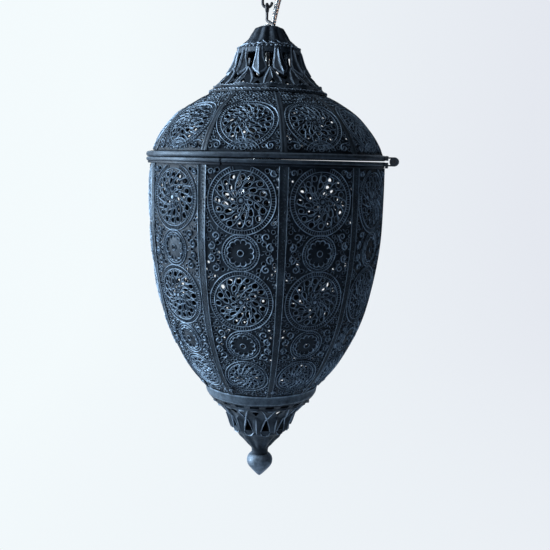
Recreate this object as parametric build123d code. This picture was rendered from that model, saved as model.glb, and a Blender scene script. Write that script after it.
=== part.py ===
from build123d import *
import os
from math import cos, hypot, radians, sin, sqrt, tan

# A hanging lantern of ten pierced sheet-metal gores, with a hinged body below a fixed lid,
# on a ceiling hook inside a small canopy. Millimetres, +Z up. The origin is the centre of the
# two ceiling screw holes, on the ceiling plane. The hinge is at +X and the catch at -X, both
# over a seam.
# Heights named "h" are measured from the rim plane, where lid and body meet.

RIM_Z = -198.0  # the rim plane, below the ceiling
GORES = 10
GORE_ANGLE = 360 / GORES
FLATTEN = 90.0  # each gore is turned about an axis this far behind the lantern's own
SHEET = 0.9
BODY_STRIP_W = (9.0, 5.0)  # at the rim and at the far end
DOME_STRIP_W = (6.2, 5.0)
STRIP_T = 1.0
SEAM_GAP = 0.2  # half the slit between two gores, under its strip
FIT = 0.05  # running clearance on a radius
TOUCH = 0.05  # gap between pieces of one body that lie on each other

# Rims: rolled rings. h is above the rim plane.
RIM_R = 118.6
LID_RIM_H = (0.8, 5.5)
BODY_RIM_H = (-6.5, -0.8)
LID_RIM_IN = 108.6
BODY_RIM_IN = 112.4
BUTT_SEAM_ANGLE = -99.0  # where the body rim's two ends meet

# Radius at a seam against h, from the rim down to the collar and from the rim up to the crown.
BODY_SEAM = [
    (116.5, -6.6), (116.7, -40.0), (115.5, -81.0), (109.7, -122.0), (99.4, -162.0),
    (79.5, -202.4), (59.2, -228.4),
]
DOME_SEAM = [
    (114.2, 5.6), (110.4, 14.6), (102.6, 26.6), (88.8, 42.0), (71.9, 53.5), (57.8, 60.9),
    (51.2, 63.6),
]
DOME_STRIP_TOP = (60.6, 59.5)  # the dome's strips stop short of the crown's flange

# Upper crown: a cast openwork bell.
CROWN_LEAVES = 11
CROWN_LEAF_ANGLE = -91.0  # where one leaf's tip points
CROWN_LEAN = 5.4  # the leaves' tops stand this far back from their tips, about Z
CROWN_OUT = [
    (0.0, 127.4), (8.0, 127.3), (11.6, 126.2), (13.8, 123.6), (17.1, 118.6), (21.4, 112.7),
    (24.2, 109.8), (28.3, 107.0), (31.6, 101.5), (33.4, 95.9), (35.7, 88.2), (40.1, 80.5),
    (47.7, 72.6), (56.9, 65.0), (58.6, 61.6),
]
CROWN_IN = [
    (50.5, 65.3), (44.0, 71.0), (37.5, 78.5), (32.8, 88.0), (30.2, 96.0), (28.4, 101.5),
    (25.0, 104.5), (21.0, 107.5), (17.5, 112.7), (14.0, 118.6), (11.0, 122.2), (0.0, 123.9),
]

# Lower crown and collar.
COLLAR_OUT = [(58.8, -228.5), (57.6, -232.7), (56.9, -236.4), (55.9, -238.2)]
COLLAR_T = 2.2
TAIL_LEAVES = 11
TAIL_LEAF_ANGLE = -86.0
TAIL_OUT = [
    (55.8, -238.3), (54.6, -240.2), (50.6, -244.0), (46.1, -247.5), (41.4, -252.1),
    (38.2, -256.5), (35.7, -260.5), (33.1, -267.8), (31.3, -274.0), (28.1, -279.1),
    (24.2, -282.4), (17.3, -290.3), (12.1, -297.5), (9.2, -302.4), (8.7, -307.0),
]
TAIL_IN = [
    (4.6, -307.0), (4.8, -301.5), (8.0, -296.5), (13.8, -289.0), (20.6, -281.0),
    (25.2, -276.8), (28.2, -272.6), (30.0, -266.8), (32.6, -259.4), (35.2, -255.0),
    (38.6, -250.2), (43.4, -245.6), (47.4, -242.2), (50.2, -238.3),
]
FINIAL_OUT = [
    (9.6, -307.1), (11.8, -309.5), (13.3, -312.5), (13.4, -315.2), (13.0, -317.9),
    (11.4, -320.8), (8.7, -324.1), (5.4, -327.7), (0.0, -332.6),
]

# Suspension. The hook's bowl and the eye lie a little to -X of the lantern's axis.
HOOK_WIRE_R = 1.4
HOOK_X = -2.8
HOOK_BOTTOM_Z = -52.5
BOWL_R = 4.6
HOOK_TOP_Z = -8.0
EYE_WIRE_R = 1.35
EYE_BORE_R = 2.3
EYE_GAP = 0.3

# Canopy on the ceiling.
CUP_R = 46.0
CUP_DEPTH = 28.0
STRAP_W = 14.0
STRAP_T = 2.0
STRAP_DROP = 12.0
FOOT_HOLE_Y = 31.0
FOOT_HOLE_R = 2.25
CUP_SCREW_Y = 15.0
CUP_SCREW_R = 1.5

# Lampholder and bulb, on a stem beside the eye-rod.
LAMP_X, LAMP_Y = -2.2, 2.1
STEM_R = 1.5
ROD_FOOT = (4.7, -2.6)  # where the bent end of the eye-rod goes through the crown

# Flex: a twin cable, drawn as one round tube.
FLEX_R = 2.5
FLEX_UPPER = [
    (23.4, 0.0, -12.6), (19.4, 0.0, -20.6), (14.6, 0.2, -30.4), (9.0, 1.2, -42.0),
    (5.2, 3.4, -55.6), (2.2, 6.0, -70.3),
]
FLEX_LOWER = [
    (2.2, 6.0, -70.3), (-0.6, 8.43, -84.02), (-2.6, 10.0, -97.5), (-3.4, 10.6, -111.0),
    (-3.0, 10.0, -124.0), (-2.2, 9.4, -137.4),
]
BUSH_XY = (15.6, 0.2)
BUSH_BORE_R = 2.9

# Hinge at +X.
HINGE_X = 126.5
KNUCKLE_R = 4.4
HINGE_PIN_R = 1.6
HINGE_W = 28.0
LEAF_T = 1.4
LEAF_IN_R = 116.0  # where a leaf ends inside its rim
LEAF_PAD = (118.1, 120.3)  # the thick edge of a leaf, against its rim
LEAF_PAD_H_UPPER = (0.9, 5.4)
LEAF_PAD_H_LOWER = (-6.4, -0.9)
KNUCKLE_MID_W = 10.0
KNUCKLE_GAP = 0.4

# Catch at -X: a small swivelling hook on the lid, turned aside along the rim at rest.
CATCH_PIVOT_H = 3.1
STUD_H = -4.9
CATCH_T = 1.2
CATCH_GAP = 0.4


def z_of(h):
    """Height in the row frame of a height above the rim plane."""
    return RIM_Z + h


def gore_radius(seam_r):
    """Radius about a gore's own axis, for a radius at the seam about the lantern's axis."""
    return sqrt(seam_r**2 + 2 * seam_r * FLATTEN * cos(radians(GORE_ANGLE / 2)) + FLATTEN**2)


def offset_profile(points, distance):
    """The same profile moved sideways along its normals; positive is to the left."""
    moved = []
    for i, (r, h) in enumerate(points):
        r0, h0 = points[max(i - 1, 0)]
        r1, h1 = points[min(i + 1, len(points) - 1)]
        length = hypot(r1 - r0, h1 - h0)
        moved.append((r - (h1 - h0) / length * distance, h + (r1 - r0) / length * distance))
    return moved


def skin_face(points, inner_distance, outer_distance):
    """Closed section, in (radius, z), between two offsets of one open profile."""
    a = [(r, z_of(h)) for r, h in offset_profile(points, inner_distance)]
    b = [(r, z_of(h)) for r, h in offset_profile(points, outer_distance)]
    with BuildSketch(Plane.XZ) as sketch:
        with BuildLine():
            first = Spline(*a)
            second = Spline(*b)
            Line(first @ 0, second @ 0)
            Line(first @ 1, second @ 1)
        make_face()
    return sketch.sketch


def turned(points):
    """Solid of revolution about Z of a closed polygon in (radius, h)."""
    with BuildPart() as part:
        with BuildSketch(Plane.XZ):
            with BuildLine():
                Polyline(*[(r, z_of(h)) for r, h in points], close=True)
            make_face()
        revolve(axis=Axis.Z)
    return part.part


def tube_part(path_points, radius, bends):
    """Round bar along straight runs joined by tangent arcs."""
    path = FilletPolyline(*path_points, radius=bends)
    start = Plane(origin=path @ 0, z_dir=path % 0)
    return sweep(start * Circle(radius), path=path)


def bend_radii(points, share=0.45, least=0.0):
    """For each corner, 0.45 of its shorter run divided by the tangent of half its turn."""
    radii = []
    for a, b, c in zip(points, points[1:], points[2:]):
        first = Vector(*b) - Vector(*a)
        second = Vector(*c) - Vector(*b)
        half_turn = radians(first.get_angle(second)) / 2
        radii.append(max(least, share * min(first.length, second.length) / tan(half_turn)))
    return radii


def cylinder_between(x, y, z_low, z_high, radius):
    return Pos(x, y, (z_low + z_high) / 2) * Cylinder(radius, z_high - z_low)


def bar_between(start, end, radius):
    run = Vector(*end) - Vector(*start)
    return extrude(Plane(origin=start, z_dir=run) * Circle(radius), run.length)


def hex_nut(x, y, z_low, z_high, across_flats, hole_r):
    nut = extrude(RegularPolygon(across_flats / 2, 6, major_radius=False), z_high - z_low)
    return Pos(x, y, z_low) * nut - cylinder_between(x, y, z_low - 1, z_high + 1, hole_r)


def wedge(half_angle, slit, z_low, z_high, reach=160.0):
    """Prism of one gore about +X, drawn back from each seam plane by the slit."""
    back = slit / sin(radians(half_angle))
    corner = (back + reach * cos(radians(half_angle)), reach * sin(radians(half_angle)))
    with BuildPart() as part:
        with BuildSketch(Plane.XY.offset(z_low)):
            with BuildLine():
                Polyline((back, 0), corner, (corner[0], -corner[1]), close=True)
            make_face()
        extrude(amount=z_high - z_low)
    return part.part


def gore_panel(seam_points):
    """One sheet gore about +X: a shell turned about the gore's own axis, cut to its wedge."""
    points = [(gore_radius(r), h) for r, h in seam_points]
    inward = -SHEET if seam_points[0][1] > seam_points[-1][1] else SHEET
    face = skin_face(points, inward, 0.0)
    shell = revolve(Rot(0, 0, -GORE_ANGLE) * face, Axis.Z, 2 * GORE_ANGLE)
    shell = Pos(-FLATTEN, 0, 0) * shell
    heights = [h for r, h in seam_points]
    cutter = wedge(GORE_ANGLE / 2, SEAM_GAP, z_of(min(heights)), z_of(max(heights)))
    return shell & cutter


def seam_strips(seam_points, rim_w, far_w):
    """Narrow tapering strips over the seams."""
    outward = 1 if seam_points[0][1] > seam_points[-1][1] else -1
    gap = 0.1 * outward
    face = skin_face(seam_points, gap, gap + STRIP_T * outward)
    band = revolve(Rot(0, 0, -9) * face, Axis.Z, 18)
    heights = [h for r, h in seam_points]
    low, high = z_of(min(heights)), z_of(max(heights))
    rim_z, far_z = (high, low) if outward > 0 else (low, high)
    with BuildPart() as taper:
        with BuildSketch(Plane.YZ.offset(20)):
            with BuildLine():
                Polyline(
                    (-rim_w / 2, rim_z), (rim_w / 2, rim_z), (far_w / 2, far_z),
                    (-far_w / 2, far_z), close=True,
                )
            make_face()
        extrude(amount=120)
    strip = band & taper.part
    return Compound(children=[Rot(0, 0, GORE_ANGLE * k) * strip for k in range(GORES)])


def crown_upper():
    """Openwork bell: a window between every two leaves, and one under each leaf's tip."""
    bell = turned(CROWN_OUT + CROWN_IN)
    pitch = 360 / CROWN_LEAVES
    window = Pos(30, 0, z_of(93.4)) * Box(24, 8.4, 13.5)
    eye = Pos(46, 0, z_of(77.4)) * Box(26, 9.0, 8.0)
    for k in range(CROWN_LEAVES):
        tip = CROWN_LEAF_ANGLE + pitch * k
        bell -= Rot(0, 0, tip - CROWN_LEAN + pitch / 2) * window
        bell -= Rot(0, 0, tip - CROWN_LEAN) * eye
    stem_hole = cylinder_between(LAMP_X, LAMP_Y, z_of(115), z_of(135), STEM_R + FIT)
    rod_hole = cylinder_between(*ROD_FOOT, z_of(115), z_of(135), EYE_WIRE_R + FIT)
    flex_hole = bar_between(FLEX_UPPER[-2], FLEX_LOWER[1], FLEX_R + 0.5)
    return bell - stem_hole - rod_hole - flex_hole


def crown_lower():
    """The smaller bell below the collar, with a window between every two leaves."""
    bell = turned(TAIL_OUT + TAIL_IN)
    pitch = 360 / TAIL_LEAVES
    window = Pos(32, 0, z_of(-266.5)) * Box(24, 6.2, 13.0)
    for k in range(TAIL_LEAVES):
        bell -= Rot(0, 0, TAIL_LEAF_ANGLE + pitch * (k + 0.5)) * window
    return bell


def rim_ring(h_low, h_high, inner_r, roll_high, roll_low):
    """A ring with one rolled bead between two heights and a flat hoop behind it."""
    roll_r = (roll_high - roll_low) / 2
    hoop_r = RIM_R - 0.8
    with BuildPart() as part:
        with BuildSketch(Plane.XZ):
            with BuildLine():
                Polyline(
                    (inner_r, z_of(h_low)), (hoop_r - roll_r, z_of(h_low)),
                    (hoop_r - roll_r, z_of(h_high)), (inner_r, z_of(h_high)), close=True,
                )
            make_face()
            with Locations((RIM_R - roll_r, z_of((roll_high + roll_low) / 2))):
                Circle(roll_r)
            if h_low < roll_low:
                with Locations((hoop_r - roll_r, z_of((h_low + roll_low) / 2 + 0.3))):
                    Rectangle(2 * roll_r, roll_low - h_low + 0.6)
        revolve(axis=Axis.Z)
    return part.part


def ceiling_hook():
    """Open hook bent from wire: shank, an S to one side, a straight side and the bowl."""
    centre_z = HOOK_BOTTOM_Z + BOWL_R
    left_x = HOOK_X - BOWL_R
    side_top_z = centre_z + 5.5
    turn = 70.0
    s_radius = -left_x / (2 * (1 - cos(radians(turn))))
    tip_angle = -12.0
    with BuildPart() as part:
        with BuildLine(Plane.XZ) as wire:
            CenterArc((HOOK_X, centre_z), BOWL_R, tip_angle, -(180 + tip_angle))
            Line((left_x, centre_z), (left_x, side_top_z))
            CenterArc((left_x + s_radius, side_top_z), s_radius, 180, -turn)
            top_z = side_top_z + 2 * s_radius * sin(radians(turn))
            CenterArc((-s_radius, top_z), s_radius, -turn, turn)
            Line((0, top_z), (0, HOOK_TOP_Z))
        path = wire.wire()
        with BuildSketch(Plane(origin=path @ 0, z_dir=path % 0)):
            Circle(HOOK_WIRE_R)
        sweep(path=path)
    tip = path @ 0
    if abs(tip.Z - HOOK_TOP_Z) < 1:
        tip = path @ 1
    return part.part + Pos(tip.X, tip.Y, tip.Z) * Sphere(HOOK_WIRE_R * 1.12)


def eye_rod():
    """Closed eye about the hook's wire, a straight shank, and a foot bent through the crown."""
    ring_r = EYE_BORE_R + EYE_WIRE_R
    ring_z = HOOK_BOTTOM_Z + HOOK_WIRE_R + EYE_GAP - EYE_BORE_R
    ring = Pos(HOOK_X, 0, ring_z) * Rot(0, 90, 0) * Torus(ring_r, EYE_WIRE_R)
    foot_x, foot_y = ROD_FOOT
    points = [
        (HOOK_X, 0, ring_z - ring_r), (HOOK_X, 0, z_of(133.2)), (foot_x, foot_y, z_of(129.4)),
        (foot_x, foot_y, z_of(117.0)),
    ]
    return ring + tube_part(points, EYE_WIRE_R, [1.8, 1.6])


def canopy_cup():
    """Spun cup closed towards the room, its rim just under the ceiling."""
    rim_z = -0.4
    outer = [
        (0, -CUP_DEPTH), (CUP_R - 16, -CUP_DEPTH), (CUP_R - 7, -CUP_DEPTH + 4.5),
        (CUP_R - 2.2, -CUP_DEPTH + 12.5), (CUP_R, rim_z),
    ]
    inner = [
        (CUP_R - 1.2, rim_z), (CUP_R - 3.4, -CUP_DEPTH + 13), (CUP_R - 8, -CUP_DEPTH + 5.6),
        (CUP_R - 16.4, -CUP_DEPTH + 1.2), (0, -CUP_DEPTH + 1.2),
    ]
    cup = turned([(r, z - RIM_Z) for r, z in outer + inner])
    cup -= cylinder_between(0, 0, -40, -20, HOOK_WIRE_R + 0.4)
    cup -= cylinder_between(*BUSH_XY, -40, -20, 5.2)
    for side in (-1, 1):
        cup -= cylinder_between(0, side * CUP_SCREW_Y, -40, -20, CUP_SCREW_R + 0.2)
    return cup


def ceiling_bracket():
    """Hat-shaped strap: two feet on the ceiling and a middle plate below them."""
    knee_y, foot_y, lean = 21.0, 38.0, 1.6
    t = STRAP_T
    low = -STRAP_DROP - t
    outline = [
        (-foot_y, 0), (-knee_y, 0), (-knee_y + lean, -STRAP_DROP), (knee_y - lean, -STRAP_DROP),
        (knee_y, 0), (foot_y, 0), (foot_y, -t), (knee_y + t, -t), (knee_y + t - lean, low),
        (-knee_y - t + lean, low), (-knee_y - t, -t), (-foot_y, -t),
    ]
    with BuildPart() as part:
        with BuildSketch(Plane.YZ.offset(-STRAP_W / 2)):
            with BuildLine():
                Polyline(*outline, close=True)
            make_face()
        extrude(amount=STRAP_W)
    strap = part.part
    for side in (-1, 1):
        strap -= cylinder_between(0, side * FOOT_HOLE_Y, -5, 5, FOOT_HOLE_R)
        strap -= cylinder_between(0, side * CUP_SCREW_Y, -20, -8, CUP_SCREW_R + FIT)
    return strap - cylinder_between(0, 0, -20, -8, HOOK_WIRE_R + FIT)


def hook_nuts():
    """One nut above the strap's middle plate and one below it."""
    hole = HOOK_WIRE_R + FIT
    top = -STRAP_DROP + TOUCH
    bottom = -STRAP_DROP - STRAP_T - TOUCH
    return Compound(children=[
        hex_nut(0, 0, top, top + 2.4, 5.5, hole), hex_nut(0, 0, bottom - 2.4, bottom, 5.5, hole),
    ])


def canopy_screws():
    """Two dome-head screws that hold the cup to the strap."""
    screws = []
    for side in (-1, 1):
        y = side * CUP_SCREW_Y
        shank = cylinder_between(0, y, -CUP_DEPTH - 0.1, -10.4, CUP_SCREW_R)
        head = Pos(0, y, -CUP_DEPTH - TOUCH) * Sphere(3.0)
        head &= Pos(0, y, -CUP_DEPTH - TOUCH - 5) * Box(10, 10, 10)
        screws.append(shank + head)
    return Compound(children=screws)


def canopy_bush():
    """Flanged bush that lines the flex hole in the cup."""
    x, y = BUSH_XY
    low = -CUP_DEPTH
    bush = cylinder_between(x, y, low - 2.4, low - TOUCH, 6.8)
    bush += cylinder_between(x, y, low - 1, low + 5.0, 5.15)
    bush += cylinder_between(x, y, low + 1.2 + TOUCH, low + 3.6, 6.4)
    return bush - bar_between(FLEX_UPPER[1], FLEX_UPPER[3], BUSH_BORE_R)


def terminal_block():
    """Two-way block beside the strap, with its clamping screws' wells and wire mouths."""
    block = Pos(30.5, 0, -8.6) * Box(13, 18, 8)
    for side in (-1, 1):
        block -= cylinder_between(30.5, side * 4.5, -8, 0, 1.9)
        block -= Pos(30.5, side * 4.5, -9.6) * Rot(0, 90, 0) * Cylinder(1.4, 30)
    return block


def lampholder_cap():
    """Domed cap at the top of the lampholder, bored for the stem and the flex."""
    outer = [(0, 64), (6.5, 64), (8.5, 61), (13.5, 57), (18, 51), (20, 46.1)]
    inner = [(18.4, 46.1), (16.6, 50.4), (12.6, 55.4), (7.6, 59.4), (0, 60.6)]
    cap = Pos(LAMP_X, LAMP_Y, 0) * turned(outer + inner)
    cap -= cylinder_between(LAMP_X, LAMP_Y, z_of(50), z_of(70), STEM_R + FIT)
    flex_x, flex_y, _ = FLEX_LOWER[-1]
    return cap - cylinder_between(flex_x, flex_y, z_of(50), z_of(75), FLEX_R + 0.5)


def lampholder_shell():
    outer = [(20, 46), (20, 16), (18.4, 14.5), (16.2, 14.5)]
    inner = [(16.2, 16.2), (18.3, 16.2), (18.3, 46)]
    return Pos(LAMP_X, LAMP_Y, 0) * turned(outer + inner)


def lampholder_ring():
    """Threaded shade ring round the shell."""
    ring = turned([(20.1, 34), (21.4, 34), (24.0, 31.5), (24.0, 28), (20.1, 28)])
    return Pos(LAMP_X, LAMP_Y, 0) * ring


def lampholder_insulator():
    disc = cylinder_between(LAMP_X, LAMP_Y, z_of(41.4), z_of(45.9), 18.2)
    return disc - cylinder_between(LAMP_X, LAMP_Y, z_of(41), z_of(46), 1.6)


def lampholder_thread():
    """The metal screw shell that takes the bulb's cap."""
    ring = turned([(14.3, 41.3), (14.3, 17), (13.8, 17), (13.8, 41.3)])
    return Pos(LAMP_X, LAMP_Y, 0) * ring


def lampholder_contact():
    tongue = cylinder_between(LAMP_X, LAMP_Y, z_of(40.4), z_of(45.8), 1.5)
    return tongue + cylinder_between(LAMP_X, LAMP_Y, z_of(40.0), z_of(41.3), 3.4)


def lamp_stem():
    return cylinder_between(LAMP_X, LAMP_Y, z_of(57.0), z_of(130.6), STEM_R)


def stem_nuts():
    """Nuts above and below the crown's top, and above and below the lampholder's cap."""
    hole = STEM_R + FIT
    spans = [(127.5, 129.7), (120.4, 122.4), (64.1, 66.3), (57.4, 59.6)]
    return Compound(children=[
        hex_nut(LAMP_X, LAMP_Y, z_of(a), z_of(b), 5.5, hole) for a, b in spans
    ])


def rod_nut():
    x, y = ROD_FOOT
    return hex_nut(x, y, z_of(118.6), z_of(120.8), 4.4, EYE_WIRE_R + FIT)


def bulb_glass():
    """Pear-shaped envelope, open at the neck inside its cap."""
    outer = [(12.6, 20), (12.9, 12), (14.6, 4), (20.5, -9), (27.6, -23), (30.0, -36),
             (27.2, -50), (18.6, -61), (0.0, -66)]
    inner = [(r - 0.9 if r else 0.0, h + (0.9 if h < -40 else 0.0)) for r, h in outer]
    with BuildPart() as part:
        with BuildSketch(Plane.XZ):
            with BuildLine():
                a = Spline(*[(r, z_of(h)) for r, h in outer], tangents=((0, -1), (-1, 0)))
                b = Spline(*[(r, z_of(h)) for r, h in inner], tangents=((0, -1), (-1, 0)))
                Line(a @ 0, b @ 0)
                Line(a @ 1, b @ 1)
            make_face()
        revolve(axis=Axis.Z)
    return Pos(LAMP_X, LAMP_Y, 0) * part.part


def bulb_cap():
    """Screw cap cup, closed at the top round the insulator."""
    outer = [(13.2, 13.5), (13.2, 36), (11.0, 37.4), (5.2, 37.4)]
    inner = [(5.2, 36.9), (10.7, 36.9), (12.95, 35.6), (12.95, 13.5)]
    return Pos(LAMP_X, LAMP_Y, 0) * turned(outer + inner)


def bulb_tip():
    """Insulator button with the centre contact on it."""
    button = turned([(0, 36.9), (5.1, 36.9), (5.1, 37.6), (3.6, 38.6), (3.2, 39.6), (0, 39.6)])
    return Pos(LAMP_X, LAMP_Y, 0) * button


def hinge_leaf(side, knuckles, rim):
    """Leaf from a rim to its knuckles; side is +1 for the lid and -1 for the body."""
    plate_mid = side * (KNUCKLE_R - LEAF_T / 2)
    wide_end = HINGE_X - KNUCKLE_R - 0.7
    low, high = LEAF_PAD_H_UPPER if side > 0 else LEAF_PAD_H_LOWER
    base = Pos((LEAF_IN_R + wide_end) / 2, 0, z_of(plate_mid)) * Box(
        wide_end - LEAF_IN_R, HINGE_W, LEAF_T
    )
    pad = Pos(sum(LEAF_PAD) / 2, 0, z_of((low + high) / 2)) * Box(
        LEAF_PAD[1] - LEAF_PAD[0], HINGE_W, high - low
    )
    leaf = base + pad
    for y_low, y_high in knuckles:
        y_mid, width = (y_low + y_high) / 2, y_high - y_low
        knuckle = Pos(HINGE_X, y_mid, z_of(0)) * Rot(90, 0, 0) * Cylinder(KNUCKLE_R, width)
        arm = Pos((wide_end - 1 + HINGE_X) / 2, y_mid, z_of(plate_mid)) * Box(
            HINGE_X - wide_end + 1, width, LEAF_T
        )
        leaf += knuckle + arm
    bore_r = HINGE_PIN_R + (0.01 if side > 0 else FIT)
    leaf -= Pos(HINGE_X, 0, z_of(0)) * Rot(90, 0, 0) * Cylinder(bore_r, HINGE_W + 4)
    return leaf - rim


def hinge_pin():
    return Pos(HINGE_X, 0, z_of(0)) * Rot(90, 0, 0) * Cylinder(HINGE_PIN_R, HINGE_W + 0.8)


def catch_x(depth):
    """X of a plane that stands this far outside the rims at -X."""
    return -(RIM_R + depth)


def radial_peg(h, radius, near, far):
    """Peg along -X between two distances outside the rims."""
    peg = Cylinder(radius, far - near)
    return Pos(catch_x((near + far) / 2), 0, z_of(h)) * Rot(0, 90, 0) * peg


def catch_tongue():
    """Flat swivelling hook. It lies along +Y and turns down to take the stud in its notch."""
    reach = CATCH_PIVOT_H - STUD_H
    x_mid = catch_x(CATCH_GAP + CATCH_T / 2)
    with BuildPart() as part:
        with BuildSketch(Plane.YZ.offset(x_mid - CATCH_T / 2)):
            with Locations((0, z_of(CATCH_PIVOT_H))):
                Circle(2.6)
            with Locations((reach / 2 + 1.6, z_of(CATCH_PIVOT_H))):
                Rectangle(reach + 3.2, 5.2)
            with Locations((reach + 3.2, z_of(CATCH_PIVOT_H))):
                Circle(2.6)
            with Locations((0, z_of(CATCH_PIVOT_H))):
                Circle(1.3, mode=Mode.SUBTRACT)
            with Locations((reach, z_of(CATCH_PIVOT_H))):
                Circle(1.75, mode=Mode.SUBTRACT)
            with Locations((reach, z_of(CATCH_PIVOT_H) - 2)):
                Rectangle(3.5, 4, mode=Mode.SUBTRACT)
        extrude(amount=CATCH_T)
    thumb = Pos(x_mid - 1.0, reach + 5.2, z_of(CATCH_PIVOT_H)) * Box(CATCH_T + 2.0, 2.6, 4.0)
    return part.part + thumb


def catch_rivet():
    shank = radial_peg(CATCH_PIVOT_H, 1.25, -1.2, 2.0)
    return shank + radial_peg(CATCH_PIVOT_H, 2.3, 2.0, 2.9)


def catch_stud():
    shank = radial_peg(STUD_H, 1.2, -1.6, 2.0)
    return shank + radial_peg(STUD_H, 2.1, 2.0, 2.9)


def collar():
    inner = [(r - COLLAR_T, h) for r, h in COLLAR_OUT]
    return turned(COLLAR_OUT + inner[::-1])


def tie_bar():
    """Cross bar on the lower crown's top edge, which carries the finial's rod."""
    bar = Pos(0, 0, z_of(-237.2)) * Box(103.0, 12.0, 2.0)
    return bar - cylinder_between(0, 0, z_of(-240), z_of(-234), 2.0 + FIT)


def finial():
    knob = turned(FINIAL_OUT + [(0.0, -307.1)])
    return knob - cylinder_between(0, 0, z_of(-320.1), z_of(-300), 2.0 + FIT)


def write_nodes(nodes):
    os.makedirs("parts", exist_ok=True)
    for name, shape in nodes.items():
        shape.label = name
        export_step(shape, f"parts/{name}.step")


def lid_rim():
    ring = rim_ring(*LID_RIM_H, LID_RIM_IN, LID_RIM_H[1], LID_RIM_H[0])
    return ring - radial_peg(CATCH_PIVOT_H, 1.25 + FIT, -4, 4)


def body_rim():
    """The body's bead, with a fine butt seam left open in the sheet."""
    ring = rim_ring(*BODY_RIM_H, BODY_RIM_IN, BODY_RIM_H[1], BODY_RIM_H[1] - 3.6)
    slit = Rot(0, 0, BUTT_SEAM_ANGLE) * Pos(RIM_R, 0, z_of(-3.6)) * Box(1.4, 0.7, 6.4)
    return ring - slit - radial_peg(STUD_H, 1.2 + FIT, -4, 4)


def report_flex():
    for name, points in (("upper", FLEX_UPPER), ("lower", FLEX_LOWER)):
        radii = bend_radii(points)
        length = tube_length(points, radii)
        print(f"flex {name}: length {length:.1f} mm, radii", [round(r, 1) for r in radii])


def tube_length(points, radii):
    return FilletPolyline(*points, radius=radii).length


def main():
    third = KNUCKLE_MID_W / 2
    outer = HINGE_W / 2
    lid_ring, body_ring = lid_rim(), body_rim()
    dome, body = gore_panel(DOME_SEAM), gore_panel(BODY_SEAM)
    nodes = {
        "ceiling_bracket": ceiling_bracket(),
        "hook_nuts": hook_nuts(),
        "ceiling_hook": ceiling_hook(),
        "canopy_cup": canopy_cup(),
        "canopy_screws": canopy_screws(),
        "canopy_bush": canopy_bush(),
        "terminal_block": terminal_block(),
        "flex_upper": tube_part(FLEX_UPPER, FLEX_R, bend_radii(FLEX_UPPER)),
        "flex_lower": tube_part(FLEX_LOWER, FLEX_R, bend_radii(FLEX_LOWER)),
        "eye_rod": eye_rod(),
        "rod_nut": rod_nut(),
        "crown_upper": crown_upper(),
        "lamp_stem": lamp_stem(),
        "stem_nuts": stem_nuts(),
        "lampholder_cap": lampholder_cap(),
        "lampholder_shell": lampholder_shell(),
        "lampholder_ring": lampholder_ring(),
        "lampholder_insulator": lampholder_insulator(),
        "lampholder_thread": lampholder_thread(),
        "lampholder_contact": lampholder_contact(),
        "bulb_glass": bulb_glass(),
        "bulb_cap": bulb_cap(),
        "bulb_tip": bulb_tip(),
        "lid_rim": lid_ring,
        "body_rim": body_ring,
        "hinge_leaf_upper": hinge_leaf(1, [(-third, third)], lid_ring),
        "hinge_leaf_lower": hinge_leaf(
            -1, [(-outer, -third - KNUCKLE_GAP), (third + KNUCKLE_GAP, outer)], body_ring
        ),
        "hinge_pin": hinge_pin(),
        "catch_tongue": catch_tongue(),
        "catch_rivet": catch_rivet(),
        "catch_stud": catch_stud(),
        "dome_strips": seam_strips(DOME_SEAM[:-2] + [DOME_STRIP_TOP], *DOME_STRIP_W),
        "body_strips": seam_strips(BODY_SEAM, *BODY_STRIP_W),
        "collar": collar(),
        "crown_lower": crown_lower(),
        "finial": finial(),
        "tie_bar": tie_bar(),
        "tie_rod": cylinder_between(0, 0, z_of(-320), z_of(-231.4), 2.0),
        "tie_nut": hex_nut(0, 0, z_of(-236.1), z_of(-232.9), 7.0, 2.0 + FIT),
    }
    for k in range(GORES):
        turn = Rot(0, 0, GORE_ANGLE * (k + 0.5))
        nodes[f"dome_panel_{k + 1}"] = turn * dome
        nodes[f"body_panel_{k + 1}"] = turn * body
    report_flex()
    write_nodes(nodes)


main()
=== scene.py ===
from math import ceil, cos, hypot, pi, radians, sin

import bmesh
import bpy
import numpy as np
from mathutils import Matrix, Vector
from mathutils.geometry import delaunay_2d_cdt


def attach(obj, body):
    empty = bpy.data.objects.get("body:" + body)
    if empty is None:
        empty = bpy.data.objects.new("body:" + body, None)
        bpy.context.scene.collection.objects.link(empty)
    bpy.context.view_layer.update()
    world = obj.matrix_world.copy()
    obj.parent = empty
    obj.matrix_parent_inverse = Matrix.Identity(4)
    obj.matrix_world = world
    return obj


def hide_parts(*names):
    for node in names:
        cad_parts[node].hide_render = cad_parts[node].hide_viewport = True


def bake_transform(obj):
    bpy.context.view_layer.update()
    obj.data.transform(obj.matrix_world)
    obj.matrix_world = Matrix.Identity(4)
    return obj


# The visual model of a hanging lantern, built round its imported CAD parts. Lengths are in
# millimetres until a mesh is made. Heights named "h" are measured from the rim plane, and "s"
# is the distance along a profile from its first point.

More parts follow.
